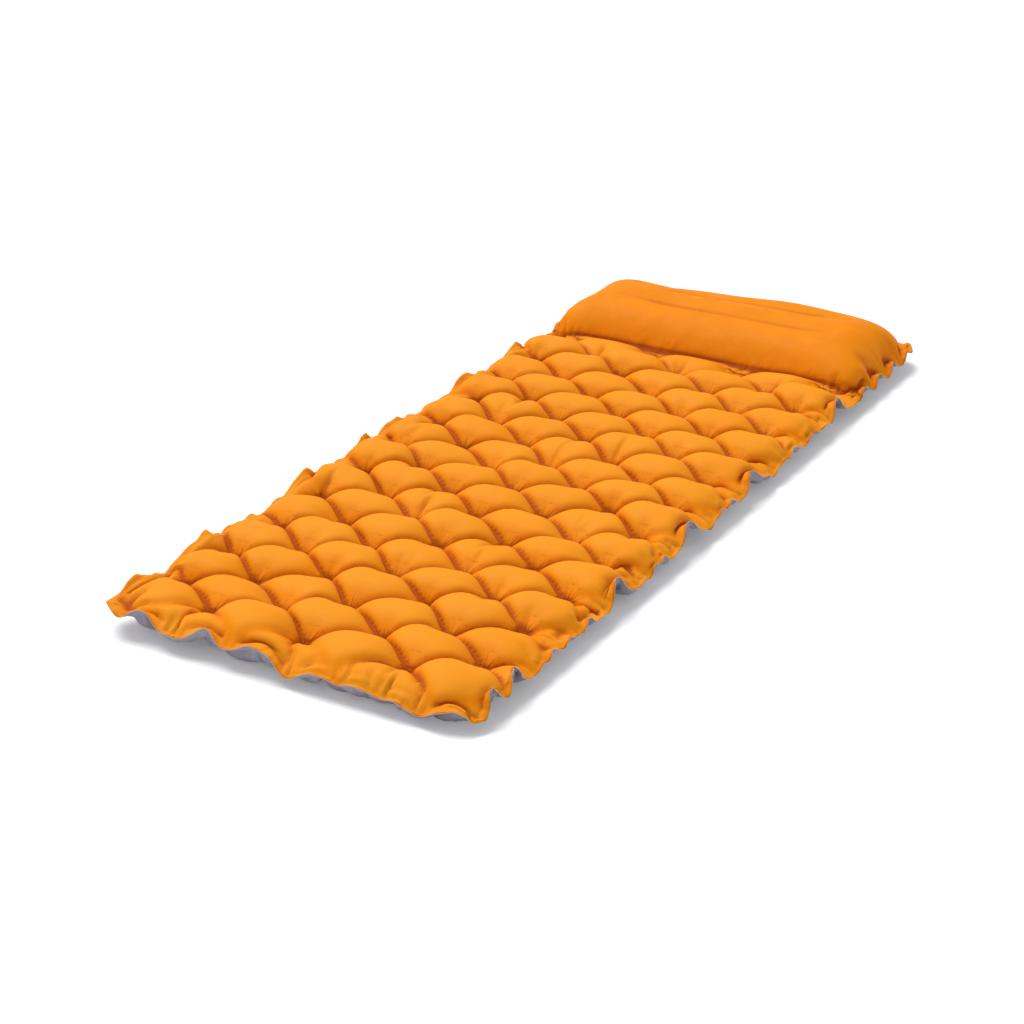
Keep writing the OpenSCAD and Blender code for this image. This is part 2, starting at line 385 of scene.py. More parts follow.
def baffle_height(x):
    """Height that the baffles hold the top sheet to, over the bottom one."""
    rise = BAFFLE_RISE * smooth(BAFFLE_RISE_FROM, BAFFLE_HALF, np.abs(x))
    return BAFFLE_TIE + rise + BAFFLE_RIPPLE * np.sin(23 * x + 1)


class Cloth:
    """Two sheets on one grid, welded at their border, at the spots and at the cross weld.

    The first index of place is the sheet: 0 for the top one and 1 for the bottom one.
    """

    # Weld radius by the grid's step, a little larger on the coarse grid, which has few points in it.
    SPOT_R = {1: 0.0088, 2: 0.0118}
    # Shares at each step: of a diagonal's error that is mended, of the speed that is kept, of a bend
    # that is straightened, in the chamber and in the flange, and of the way back to its place that
    # a weld or a led edge goes.
    DIAGONAL = 0.15
    DAMPING = 0.98
    BEND = 0.0004
    BEND_FLANGE = 0.008
    SPOT_HOLD = 0.15
    EDGE_HOLD = 0.10
    # The flange is stiff over bends of this many grid points too. Its stiffness fades out this far
    # inside the edge weld.
    STIFF_STRIDE = 3
    STIFF_BLEND = 0.010
    # Spread of the weld spots about the lattice.
    SPOT_DRIFT = 0.0034
    # Half width of the cross weld, and how far from its middle its lift ends.
    SEAM_HALF = 0.004
    SEAM_LIFT_HALF = 0.006
    # The edge is led out to this far inside the edge weld.
    LEAD_BLEND = 0.004
    # The seat of the patch starts and is full this far outside the patch.
    SEAT_BLEND = (0.012, 0.002)
    # Half the gap between the sheets before the air comes in, and their unevenness.
    START_GAP = 0.001
    START_NOISE = 0.0002
    # Steps over which the air comes in.
    FILL_STEPS = 50

    def __init__(self, step, places=None):
        self.x, self.y = flat_layout(step)
        self.edge = edge_distance(self.x, self.y)
        self.ease_x, self.ease_y = eases(self.x, self.y)
        self.place = self.flat_places() if places is None else places.astype(np.float32)
        self.set_welds(self.SPOT_R[step])
        self.set_valve_seat()
        self.links = [
            (rows, columns, stiff, parity, self.rest_length(rows, columns))
            for rows, columns, stiff in (
                (0, 1, 1.0), (1, 0, 1.0), (1, 1, self.DIAGONAL), (1, -1, self.DIAGONAL))
            for parity in (0, 1)
        ]
        rim = smooth(BORDER + self.STIFF_BLEND, BORDER, self.edge)
        bend = self.BEND + (self.BEND_FLANGE - self.BEND) * rim
        self.bend = bend[None, ..., None].astype(np.float32)
        self.bend_wide = (self.BEND_FLANGE * rim)[None, ..., None].astype(np.float32)

    def flat_places(self):
        """Both sheets flat at the weld plane, with a little unevenness to buckle from."""
        draw = np.random.default_rng(3)
        z = np.stack([np.full(self.x.shape, WELD_PLANE + self.START_GAP),
                      np.full(self.x.shape, WELD_PLANE - self.START_GAP)])
        z += draw.normal(0, self.START_NOISE, self.x.shape)
        lead_height = flange_lead(self.x, self.y)[..., 2] - WELD_PLANE
        z += lead_height * smooth(EDGE_BAND, 0.0, self.edge)
        both = [np.broadcast_to(a, z.shape) for a in (self.x, self.y)]
        return np.stack([*both, z], -1).astype(np.float32)

    def set_welds(self, spot_r):
        """Which points are welded, where they belong, and where the free edge is led to."""
        tab = corner_tab(self.x, self.y)
        from_seam = np.abs(self.y - SEAM_Y)
        self.welded = (self.edge < BORDER) | (tab > 0.5) | (from_seam < self.SEAM_HALF)
        drift = np.zeros(self.x.shape + (3,))
        draw = np.random.default_rng(11)
        for x, y in weld_spots():
            away = np.hypot(self.x - x, self.y - y)
            self.welded |= away < spot_r
            drift[away < 2 * spot_r] = draw.normal(0, self.SPOT_DRIFT, 3)
        seam = smooth(self.SEAM_LIFT_HALF, self.SEAM_HALF, from_seam)
        seam = seam * smooth(*SEAM_LIFT_BAND, self.edge)
        home_z = WELD_PLANE + SEAM_LIFT * seam
        home = np.stack([self.x, self.y, home_z], -1) + drift
        inner = self.welded & (self.edge > BORDER) & (tab == 0)
        hold = np.where(inner, self.SPOT_HOLD, 0.0)
        self.home = home.astype(np.float32)[self.welded]
        self.hold = hold[self.welded][:, None].astype(np.float32)
        at_edge = smooth(BORDER + self.LEAD_BLEND, 0.0, self.edge)
        lead = self.EDGE_HOLD * np.maximum(at_edge, tab)
        self.led = lead > 0
        self.lead = lead[self.led][:, None].astype(np.float32)
        self.lead_place = flange_lead(self.x, self.y)[self.led].astype(np.float32)

    def set_valve_seat(self):
        """The cloth round the valve is led to the flat face that the patch is welded on."""
        flat_y = PAD_L / 2 - FLANGE - VALVE_UP / EASE_PILLOW_REAR
        across = (self.x - VALVE[0]) * EASE_PILLOW_X
        down = (self.y - flat_y) * EASE_PILLOW_REAR
        start, full = (PATCH_R + blend for blend in self.SEAT_BLEND)
        pull = smooth(start, full, np.hypot(across, down))
        self.seat = pull > 0
        face = VALVE - VALVE_Z * FABRIC
        seat = face + across[..., None] * VALVE_X + down[..., None] * VALVE_Y
        self.seat_place = seat[self.seat].astype(np.float32)
        self.seat_pull = pull[self.seat][:, None].astype(np.float32)

    def ends(self, rows, columns):
        """Index of each link's two ends, for links that many rows and columns apart."""
        height, width = self.x.shape
        low = slice(0, width - columns) if columns >= 0 else slice(-columns, width)
        high = slice(columns, width) if columns >= 0 else slice(0, width + columns)
        every = slice(None)
        return (every, slice(0, height - rows), low), (every, slice(rows, height), high)

    def rest_length(self, rows, columns):
        """Length of each link's cloth: its flat length with the eases of its two ends."""
        a, b = self.ends(rows, columns)
        x = np.broadcast_to(self.x, self.ease_x.shape)
        y = np.broadcast_to(self.y, self.ease_y.shape)
        across = (x[b] - x[a]) * (self.ease_x[a] + self.ease_x[b]) / 2
        along = (y[b] - y[a]) * (self.ease_y[a] + self.ease_y[b]) / 2
        return np.hypot(across, along).astype(np.float32)[..., None]

    def pull_link(self, rows, columns, stiff, parity, rest):
        """Moves both ends of every second link towards its rest length."""
        a, b = self.ends(rows, columns)
        every = slice(None)
        pick = (every, slice(parity, None, 2)) if rows else (every, every, slice(parity, None, 2))
        start, end = self.place[a][pick], self.place[b][pick]
        gap = end - start
        length = np.sqrt(np.einsum("...k,...k->...", gap, gap))[..., None]
        gap *= (length - rest[pick]) / np.maximum(length, 1e-9) * (0.5 * stiff)
        start += gap
        end -= gap

    def resist_bending(self, stride, stiffness):
        """Straightens the cloth a little over that many grid points each way."""
        for axis in (1, 2):
            def part(low, high):
                index = [slice(None)] * 4
                index[axis] = slice(low, high or None)
                return tuple(index)
            middle = part(stride, -stride)
            before, after = part(0, -2 * stride), part(2 * stride, 0)
            bow = self.place[after] + self.place[before] - 2 * self.place[middle]
            bow *= np.broadcast_to(stiffness, (1,) + self.x.shape + (1,))[middle]
            move = np.zeros_like(self.place)
            move[middle] += 2 * bow
            move[after] -= bow
            move[before] -= bow
            self.place += move

    def press(self, pressure):
        """Push of the air on each grid point, along the cloth's normal."""
        across = np.gradient(self.place, axis=2)
        along = np.gradient(self.place, axis=1)
        area = np.gradient(self.x, axis=1) * np.gradient(self.y, axis=0)
        push = np.cross(across, along) / area[None, ..., None]
        push[1] *= -1
        return (push * pressure).astype(np.float32)

    def join(self):
        """Welds, baffles, the valve's seat and the flange's lead."""
        place = self.place
        middle = (place[0][self.welded] + place[1][self.welded]) / 2
        middle += (self.home - middle) * self.hold
        place[0][self.welded] = middle
        place[1][self.welded] = middle
        for sheet in place:
            sheet[self.led] += (self.lead_place - sheet[self.led]) * self.lead
        inside = np.abs(self.x[0]) < BAFFLE_HALF
        tie = baffle_height(self.x[0][inside])[:, None]
        for y in BAFFLE_Y:
            row = self.row_at(y)
            gap = place[0, row][inside] - place[1, row][inside]
            length = np.linalg.norm(gap, axis=-1, keepdims=True)
            gap *= np.clip(1 - tie / np.maximum(length, 1e-9), 0, 1) / 2
            place[0, row, inside] -= gap
            place[1, row, inside] += gap
        place[0][self.seat] += (self.seat_place - place[0][self.seat]) * self.seat_pull

    def stay_apart(self, before):
        """The top sheet stays over the bottom one, and neither goes into the floor."""
        z = self.place[..., 2]
        crossed = z[0] < z[1]
        middle = (z[0] + z[1])[crossed] / 2
        z[0][crossed] = middle
        z[1][crossed] = middle
        floor = FABRIC + GLUE
        on_floor = (z < floor)[..., None]
        z[z < floor] = floor
        slid = (self.place[..., :2] + before[..., :2]) / 2
        self.place[..., :2] = np.where(on_floor, slid, self.place[..., :2])

    def row_at(self, y):
        """The grid's row nearest to that flat y."""
        return int(np.argmin(np.abs(self.y[:, self.y.shape[1] // 2] - y)))

    def inflate(self, steps, pressure, weight):
        """Lets the air in; pressure and weight are what each step adds to the speed."""
        before = self.place.copy()
        for count in range(steps):
            speed = (self.place - before) * self.DAMPING
            speed += self.press(pressure * min(1.0, (count + 1) / self.FILL_STEPS))
            speed[..., 2] -= weight
            before[:] = self.place
            self.place += speed
            for link in self.links if count % 2 == 0 else self.links[::-1]:
                self.pull_link(*link)
            self.resist_bending(1, self.bend)
            self.resist_bending(self.STIFF_STRIDE, self.bend_wide)
            self.join()
            self.stay_apart(before)


def refine(place):
    """The same surfaces on a grid of half the spacing."""
    for axis in (1, 2):
        rows = np.moveaxis(place, axis, 0)
        wide = np.concatenate([2 * rows[:1] - rows[1:2], rows, 2 * rows[-1:] - rows[-2:-1]])
        fine = np.empty((2 * len(rows) - 1,) + rows.shape[1:], rows.dtype)
        fine[::2] = rows
        fine[1::2] = (9 * (rows[:-1] + rows[1:]) - (wide[:-3] + wide[3:])) / 16
        place = np.moveaxis(fine, 0, axis)
    return np.ascontiguousarray(place)


# Runs of the cloth, on every second grid point and then on all of them.
COARSE_RUN = {"steps": 500, "pressure": 1e-5, "weight": 2e-7}
FINE_RUN = {"steps": 300, "pressure": 3e-6, "weight": 6e-8}


def inflated_pad():
    """The inflated cloth: first on a coarse grid, then on the fine one."""
    coarse = Cloth(2)
    coarse.inflate(**COARSE_RUN)
    fine = Cloth(1, refine(coarse.place))
    fine.inflate(**FINE_RUN)
    return fine


# ---------------------------------------------------------------------------
# Materials
# ---------------------------------------------------------------------------
class Shader:
    """A new material's node tree, with short calls for the nodes used here."""

    def __init__(self, name):
        self.material = bpy.data.materials.new(name)
        self.material.use_nodes = True
        self.nodes = self.material.node_tree.nodes
        self.links = self.material.node_tree.links
        self.bsdf = self.nodes["Principled BSDF"]

    def put(self, socket, value):
        """Links another node's output to an input, or sets the input's value."""
        if isinstance(value, bpy.types.NodeSocket):
            self.links.new(value, socket)
        elif value is not None:
            socket.default_value = value

    def set(self, **values):
        """Values or sockets for the main shader's inputs, such as base_color."""
        for name, value in values.items():
            self.put(self.bsdf.inputs[name.replace("_", " ").title()], value)

    def attribute(self, name, out="Vector"):
        node = self.nodes.new("ShaderNodeAttribute")
        node.attribute_name = name
        return node.outputs[out]

    def object_space(self):
        return self.nodes.new("ShaderNodeTexCoord").outputs["Object"]

    def math(self, kind, a, b=None):
        node = self.nodes.new("ShaderNodeMath")
        node.operation = kind
        self.put(node.inputs[0], a)
        self.put(node.inputs[1], b)
        return node.outputs[0]

    def noise(self, vector, scale, detail=3.0, roughness=0.5):
        node = self.nodes.new("ShaderNodeTexNoise")
        self.put(node.inputs["Vector"], vector)
        node.inputs["Scale"].default_value = scale
        node.inputs["Detail"].default_value = detail
        node.inputs["Roughness"].default_value = roughness
        return node.outputs["Fac"]

    def span(self, value, low, high, to_low=0.0, to_high=1.0):
        node = self.nodes.new("ShaderNodeMapRange")
        self.put(node.inputs["Value"], value)
        for name, number in zip(("From Min", "From Max", "To Min", "To Max"),
                                (low, high, to_low, to_high)):
            node.inputs[name].default_value = number
        return node.outputs[0]

    def mix(self, share, a, b):
        node = self.nodes.new("ShaderNodeMix")
        node.data_type = "RGBA"
        self.put(node.inputs["Factor"], share)
        for name, colour in (("A", a), ("B", b)):
            socket = [s for s in node.inputs if s.name == name and s.type == "RGBA"][0]
            self.put(socket, (*colour, 1.0) if isinstance(colour, tuple) else colour)
        return [s for s in node.outputs if s.type == "RGBA"][0]

    def bump(self, height, distance, strength=1.0, normal=None):
        node = self.nodes.new("ShaderNodeBump")
        node.inputs["Strength"].default_value = strength
        node.inputs["Distance"].default_value = distance
        self.put(node.inputs["Height"], height)
        self.put(node.inputs["Normal"], normal)
        return node.outputs["Normal"]

    def weave(self, flat, pitch):
        """Height of a plain weave, from 0 to 1, by flat cloth coordinates."""
        split = self.nodes.new("ShaderNodeSeparateXYZ")
        self.put(split.inputs[0], flat)
        waves_xy = [self.math("SINE", self.math("MULTIPLY", split.outputs[k], math.pi / pitch))
                    for k in (0, 1)]
        return self.span(self.math("MULTIPLY", *waves_xy), -1, 1)


# Spacing of the fabric's threads and its shine, and how far its colour goes over to a paler,
# yellower one over the middles of the domes, a painted highlight, and to the deep one in speckles
# and welds, the fabric's own tone, and down in the folds, a painted shade.
THREAD = 0.0008
FABRIC_SHINE = 0.07
HIGHLIGHT_SHARE = 0.8
SPECKLE_SHARE = 0.10
FOLD_SHADE_SHARE = 0.85
WELD_SHARE = 0.08


def fabric(name, base, highlight_colour, deep, sheen):
    """Coated woven nylon, with a painted highlight over the middles of the domes and painted shade
    down in the folds.
    """
    s = Shader(name)
    flat = s.attribute("flat")
    fold = s.attribute("fold", "Fac")
    weld = s.attribute("weld", "Fac")
    dome_highlight = s.attribute("dome_highlight", "Fac")
    cloudy = s.span(s.noise(flat, scale=16, detail=4), 0.3, 0.7)
    speckle = s.noise(flat, scale=1400, detail=2, roughness=0.7)
    light = tuple(min(1.0, c * 1.06) for c in base)
    dark = tuple(c * 0.93 for c in base)
    colour = s.mix(cloudy, dark, light)
    # Painted highlight: the middles of the domes go over to the paler, yellower colour.
    colour = s.mix(s.math("MULTIPLY", dome_highlight, HIGHLIGHT_SHARE), colour, highlight_colour)
    colour = s.mix(s.span(speckle, 0.35, 0.75, to_high=SPECKLE_SHARE), colour, deep)
    # Painted shade: the cloth goes over to the deep colour down in the folds.
    colour = s.mix(s.span(fold, 0.0, 1.0, to_high=FOLD_SHADE_SHARE), colour, deep)
    colour = s.mix(s.math("MULTIPLY", weld, WELD_SHARE), colour, deep)
    wrinkle = s.noise(s.attribute("streak"), scale=1.0, detail=2.0)
    wrinkle = s.math("MULTIPLY", s.span(wrinkle, 0.35, 0.65), s.attribute("pinch", "Fac"))
    slub = s.noise(flat, scale=260, detail=3, roughness=0.6)
    pucker = s.noise(flat, scale=75, detail=3, roughness=0.55)
    normal = s.bump(wrinkle, distance=0.0034, strength=0.9)
    normal = s.bump(s.weave(flat, THREAD), distance=0.00012, strength=0.35, normal=normal)
    normal = s.bump(slub, distance=0.0004, strength=0.30, normal=normal)
    normal = s.bump(pucker, distance=0.0016, strength=0.30, normal=normal)
    rough = s.span(s.noise(flat, scale=55, detail=3), 0.3, 0.7, to_low=0.50, to_high=0.66)
    s.set(base_color=colour, roughness=rough, normal=normal)
    s.set(sheen_weight=sheen, sheen_roughness=0.45, sheen_tint=(*light, 1.0))
    s.bsdf.inputs["Specular IOR Level"].default_value = FABRIC_SHINE
    return s.material


def cut_edge(name, base):
    """The laminate's cut edge: light coating with short frayed threads."""
    s = Shader(name)
    flat = s.attribute("flat")
    fray = s.noise(flat, scale=1800, detail=3, roughness=0.7)
    colour = s.mix(s.span(fray, 0.35, 0.7), tuple(c * 0.8 for c in base), base)
    normal = s.bump(fray, distance=0.0003, strength=0.5)
    s.set(base_color=colour, roughness=0.7, normal=normal)
    return s.material


def moulded(name, base, roughness, grain=0.00006, pitch=2600, shine=0.5):
    """Moulded plastic or rubber with a fine spark-eroded grain and faint handling wear.

    grain is the grain's depth in metres, and pitch is how fine it is.
    """
    s = Shader(name)
    spot = s.object_space()
    wear = s.noise(spot, scale=90, detail=4, roughness=0.6)
    grit = s.noise(spot, scale=pitch, detail=2, roughness=0.6)
    flow = s.noise(spot, scale=320, detail=3)
    lighter = tuple(min(1.0, c * 1.3 + 0.008) for c in base)
    colour = s.mix(s.span(wear, 0.45, 0.75, to_high=0.6), base, lighter)
    normal = s.bump(grit, distance=grain, strength=0.6)
    normal = s.bump(flow, distance=0.00015, strength=0.25, normal=normal)
    rough = s.span(wear, 0.3, 0.7, roughness - 0.07, roughness + 0.09)
    s.set(base_color=colour, roughness=rough, normal=normal)
    s.bsdf.inputs["Specular IOR Level"].default_value = shine
    return s.material


SCRIM_THREAD = 0.0025


def scrim(name, base):
    """Coated scrim of the baffles: a coarse grid of threads."""
    s = Shader(name)
    flat = s.attribute("flat")
    grid = s.weave(flat, SCRIM_THREAD)
    colour = s.mix(s.span(grid, 0.4, 0.9), tuple(c * 0.8 for c in base), base)
    normal = s.bump(grid, distance=0.0003, strength=0.5)
    s.set(base_color=colour, roughness=0.5, normal=normal)
    return s.material


# The paler colours are a painted highlight over the domes' middles; the deep ones are the fabric's
# speckle and weld tone, and painted shade down in the folds.
ORANGE = (0.82, 0.240, 0.002)
ORANGE_HIGHLIGHT = (0.86, 0.305, 0.014)
ORANGE_DEEP = (0.34, 0.042, 0.001)
GREY = (0.30, 0.28, 0.33)
GREY_HIGHLIGHT = (0.33, 0.31, 0.36)
GREY_DEEP = (0.14, 0.13, 0.16)
MATERIALS = {
    "orange_fabric": fabric("orange_fabric", ORANGE, ORANGE_HIGHLIGHT, ORANGE_DEEP, sheen=0.01),
    "grey_fabric": fabric("grey_fabric", GREY, GREY_HIGHLIGHT, GREY_DEEP, sheen=0.06),
    "cut_edge": cut_edge("cut_edge", (0.62, 0.50, 0.40)),
    "baffle_fabric": scrim("baffle_fabric", (0.62, 0.60, 0.56)),
    "orange_patch": moulded("orange_patch", (0.66, 0.185, 0.002), roughness=0.55,
                            grain=0.00004, pitch=1500, shine=0.15),
    "valve_plastic": moulded("valve_plastic", (0.018, 0.018, 0.020), roughness=0.42),
    "strap_rubber": moulded("strap_rubber", (0.024, 0.024, 0.026), roughness=0.55),
    "silicone": moulded("silicone", (0.58, 0.58, 0.54), roughness=0.38),
}


# ---------------------------------------------------------------------------
# Pieces
# ---------------------------------------------------------------------------
def normals_of(place):
    """Unit normals of one sheet's grid, pointing up for cloth that lies face up."""
    normal = np.cross(np.gradient(place, axis=1), np.gradient(place, axis=0))
    return normal / np.maximum(np.linalg.norm(normal, axis=-1, keepdims=True), 1e-9)


def folds_of(place, normal):
    """How deep in a fold each point lies, from 0 to 1."""
    bow = np.zeros(place.shape[:2])
    for axis in (0, 1):
        for stride in FOLD_STRIDES:
            ahead = np.roll(place, -stride, axis)
            behind = np.roll(place, stride, axis)
            bow += ((ahead + behind - 2 * place) * normal).sum(-1) / stride ** 2
    edge = max(FOLD_STRIDES)
    bow[:edge] = bow[-edge:] = 0
    bow[:, :edge] = bow[:, -edge:] = 0
    for axis in (0, 1) * FOLD_BLUR:
        bow = (np.roll(bow, 1, axis) + 2 * bow + np.roll(bow, -1, axis)) / 4
    return smooth(*FOLD_BEND, bow)


# Third coordinate of the wrinkles' noise: one for every hem, and a step from one spot to the next.
HEM_LAYER = 50.0
SPOT_LAYER = 3.0


def streaks_of(cloth):
    """Place in the noise of the small wrinkles at each point, and their strength, from 0 to 1.

    They fan out from the weld spots, and run in from the flange and the cross weld in patches.
    """
    x, y = cloth.x, cloth.y
    inward = cloth.edge - BORDER
    from_seam = np.abs(y - SEAM_Y)
    by_seam = from_seam < inward
    reach = np.minimum(inward, from_seam)
    patchy = 0.5 + 0.5 * np.sin(37 * (x + y)) * np.sin(61 * (x - y) + 1)
    strength = smooth(*HEM_REACH, reach) * (cloth.edge > BORDER / 2) * patchy
    at_side = (PAD_W / 2 - np.abs(x) < PAD_L / 2 - np.abs(y)) & ~by_seam
    along = np.where(at_side, y, x) / HEM_WRINKLE
    place = np.stack([along, reach / (2 * HEM_WRINKLE), np.full(x.shape, HEM_LAYER)], -1)
    for number, (spot_x, spot_y) in enumerate(weld_spots()):
        dx, dy = x - spot_x, y - spot_y
        radius = np.maximum(np.hypot(dx, dy), 1e-6)
        fan = smooth(*SPOT_REACH, radius)
        nearer = fan > strength
        layer = np.full(x.shape, SPOT_LAYER * number)
        spoke = np.stack([dx / radius, dy / radius, layer], -1)
        place[nearer] = spoke[nearer] * SPOT_WRINKLES
        strength = np.maximum(strength, fan)
    return place, strength


# The painted highlight over the domes' middles fades out over this distance before the cross weld,
# so the pillow has none.
HIGHLIGHT_BLEND = 0.05


def marks_of(cloth, fold):
    """What the fabric's material reads at each point of the grid, by attribute name."""
    streak, pinch = streaks_of(cloth)
    mattress = smooth(SEAM_Y, SEAM_Y - HIGHLIGHT_BLEND, cloth.y)
    return {
        "flat": np.stack([cloth.x, cloth.y, np.zeros(cloth.x.shape)], -1),
        "streak": streak,
        "fold": fold,
        "weld": cloth.welded.astype(float),
        "pinch": pinch,
        # Painted highlight over the middles of the domes, on the mattress only.
        "dome_highlight": np.minimum(dome_share(cloth.x, cloth.y), 1.0) * mattress,
    }


def mark_points(mesh, label, values):
    """Stores a number or a vector at each point of a mesh, for its material to read."""
    is_vector = values.ndim == 2
    layer = mesh.attributes.new(label, "FLOAT_VECTOR" if is_vector else "FLOAT", "POINT")
    field = "vector" if is_vector else "value"
    layer.data.foreach_set(field, values.ravel().astype(np.float32))


def grid_quads(height, width):
    """Quads of a grid of points, anticlockwise where columns run along x and rows along y."""
    index = np.arange(height * width).reshape(height, width)
    quads = np.stack([index[:-1, :-1], index[:-1, 1:], index[1:, 1:], index[1:, :-1]], -1)
    return quads.reshape(-1, 4)


def two_layers(quads, count):
    """Faces of a closed skin: the outer layer, the inner one and the rim, in that order.

    The inner layer's points are numbered as the outer layer's are, from count on.
    """
    edges = np.concatenate([quads[:, [k, (k + 1) % 4]] for k in range(4)])
    known = set(map(tuple, edges))
    border = np.array([e for e in map(tuple, edges) if (e[1], e[0]) not in known])
    rim = np.stack([border[:, 1], border[:, 0], border[:, 0] + count, border[:, 1] + count], -1)
    return np.concatenate([quads, quads[:, ::-1] + count, rim])


def new_object(name, mesh):
    """Puts a finished mesh into the scene."""
    mesh.update()
    piece = bpy.data.objects.new(name, mesh)
    bpy.context.collection.objects.link(piece)
    return piece


# The hole is cut only where the cloth lies this near the valve's face, on its axis.
HOLE_DEPTH = 0.02


def sheet_mesh(name, cloth, side, rows, lift=0.0, hole=False):
    """Closed mesh of one sheet over some of the grid's rows, with its cut edge as a rim."""
    place = cloth.place[side].astype(float)
    normal = normals_of(place) * (1 if side == 0 else -1)
    marks = marks_of(cloth, folds_of(place, normal))
    rows = slice(*rows)
    place, normal = place[rows], normal[rows]
    height, width = place.shape[:2]
    inner = (place + normal * (GLUE + lift)).reshape(-1, 3)
    outer = (place + normal * (GLUE + lift + FABRIC)).reshape(-1, 3)
    quads = grid_quads(height, width)
    if hole:
        middle = outer[quads].mean(1) - VALVE
        radius = np.hypot(middle @ VALVE_X, middle @ VALVE_Y)
        quads = quads[(radius > CUT_R) | (np.abs(middle @ VALVE_Z) > HOLE_DEPTH)]
    if side == 1:
        quads = quads[:, ::-1]
    faces = two_layers(quads, len(outer))
    used = np.zeros(2 * len(outer), bool)
    used[faces] = True
    number = np.cumsum(used) - 1
    points = np.concatenate([outer, inner])[used]
    mesh = bpy.data.meshes.new(name)
    mesh.from_pydata(points.tolist(), [], number[faces].tolist())
    for label, values in marks.items():
        values = values[rows].reshape((len(outer),) + values.shape[2:])
        mark_points(mesh, label, np.concatenate([values, values])[used])
    fabric_name = "orange_fabric" if side == 0 else "grey_fabric"
    for slot_name in (fabric_name, "cut_edge"):
        mesh.materials.append(MATERIALS[slot_name])
    cut = np.zeros(len(faces), np.int32)
    cut[2 * len(quads):] = 1
    mesh.polygons.foreach_set("material_index", cut)
    mesh.polygons.foreach_set("use_smooth", cut == 0)
    piece = new_object(name, mesh)
    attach(piece, "pad")
    return piece


# The baffles: points up each one, their gap to the sheets, and how far they bow in waves.
BAFFLE_LEVELS = 15
BAFFLE_CLEAR = 0.0008
BAFFLE_BOW = 0.003


def baffle_mesh(name, cloth, y):
    """Upright strip from the bottom sheet to the top sheet."""
    row = cloth.row_at(y)
    inside = np.abs(cloth.x[row]) < BAFFLE_HALF
    top = cloth.place[0, row, inside].astype(float) - [0, 0, BAFFLE_CLEAR]
    low = cloth.place[1, row, inside].astype(float) + [0, 0, BAFFLE_CLEAR]
    share = np.linspace(0, 1, BAFFLE_LEVELS)[:, None, None]
    face = low + (top - low) * share
    face[..., 1:2] += BAFFLE_BOW * np.sin(np.pi * share) * np.sin(40 * face[..., :1])
    half = np.array([0, FABRIC / 2, 0])
    points = np.concatenate([(face + half).reshape(-1, 3), (face - half).reshape(-1, 3)])
    quads = grid_quads(BAFFLE_LEVELS, face.shape[1])[:, ::-1]
    faces = two_layers(quads, BAFFLE_LEVELS * face.shape[1])
    mesh = bpy.data.meshes.new(name)
    mesh.from_pydata(points.tolist(), [], faces.tolist())
    mark_points(mesh, "flat", points[:, [0, 2, 1]])
    mesh.materials.append(MATERIALS["baffle_fabric"])
    piece = new_object(name, mesh)
    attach(piece, "pad")
    return piece


# The two living hinges on the valve's own axes: x where both leaves end, the leaves' mid heights,
# how far the web bulges out in x, how far its straight ends run inside the leaves, and its section.
PLUG_WEB = {
    "end": 0.0290, "low": 0.0026, "high": 0.0083, "bulge": 0.0027, "inside": 0.0014,
    "width": 0.0120, "thickness": 0.0012,
}
CAP_WEB = {
    "end": -0.0168, "low": 0.0100, "high": 0.0132, "bulge": -0.0019, "inside": -0.0010,
    "width": 0.0090, "thickness": 0.0010,
}
WEB_STEPS = 24
WEB_SIDES = 20

# Powers that square off the section of a web, across and through it: 1 would be an ellipse.
WEB_SQUARE_ACROSS = 0.25
WEB_SQUARE_THROUGH = 0.6


def web_path(web):
    """Middle line of a living hinge, from the lower leaf round to the upper one."""
    turn = np.linspace(0, math.pi, WEB_STEPS + 1)
    x = web["end"] + web["bulge"] * np.sin(turn)
    z = (web["low"] + web["high"]) / 2 - (web["high"] - web["low"]) / 2 * np.cos(turn)
    arc = np.stack([x, z], 1)
    root = np.array([[web["inside"], 0.0]])
    return np.concatenate([arc[:1] - root, arc, arc[-1:] - root])


def squared(wave, power):
    """A sine or cosine with flatter tops."""
    return np.sign(wave) * np.abs(wave) ** power


def web_mesh(name, web):
    """Curved strip of rubber in the shape of a living hinge."""
    path = web_path(web)
    run = np.gradient(path, axis=0)
    run /= np.linalg.norm(run, axis=1, keepdims=True)
    out = np.stack([run[:, 1], -run[:, 0]], 1)
    turn = np.linspace(0, 2 * math.pi, WEB_SIDES, endpoint=False)
    across = squared(np.cos(turn), WEB_SQUARE_ACROSS) * web["width"] / 2
    through = squared(np.sin(turn), WEB_SQUARE_THROUGH) * web["thickness"] / 2
    flat_x = path[:, :1] + out[:, :1] * through
    flat_z = path[:, 1:] + out[:, 1:] * through
    points = (VALVE + flat_x[..., None] * VALVE_X + flat_z[..., None] * VALVE_Z
              + np.broadcast_to(across, flat_x.shape)[..., None] * VALVE_Y)
    ring = np.arange(points.shape[0] * WEB_SIDES).reshape(-1, WEB_SIDES).tolist()
    faces = [
        (near[j], near[(j + 1) % WEB_SIDES], far[(j + 1) % WEB_SIDES], far[j])
        for near, far in zip(ring, ring[1:]) for j in range(WEB_SIDES)
    ]
    faces += [tuple(ring[0][::-1]), tuple(ring[-1])]
    mesh = bpy.data.meshes.new(name)
    mesh.from_pydata(points.reshape(-1, 3).tolist(), [], faces)
    mesh.materials.append(MATERIALS["strap_rubber"])
    mesh.polygons.foreach_set("use_smooth", [len(f) == 4 for f in faces])
    return new_object(name, mesh)


def dress_nodes():
    """Gives the CAD nodes that stay in view their finished materials."""
    slots = {p["node"]: p["material_slot"] for p in frame["record"]["subparts"]}
    for node, piece in frame["nodes"].items():
        piece.data.materials.clear()
        piece.data.materials.append(MATERIALS[slots[node]])


cloth = inflated_pad()
seam_row = cloth.row_at(SEAM_Y)
last_row = cloth.x.shape[0]
dress_nodes()

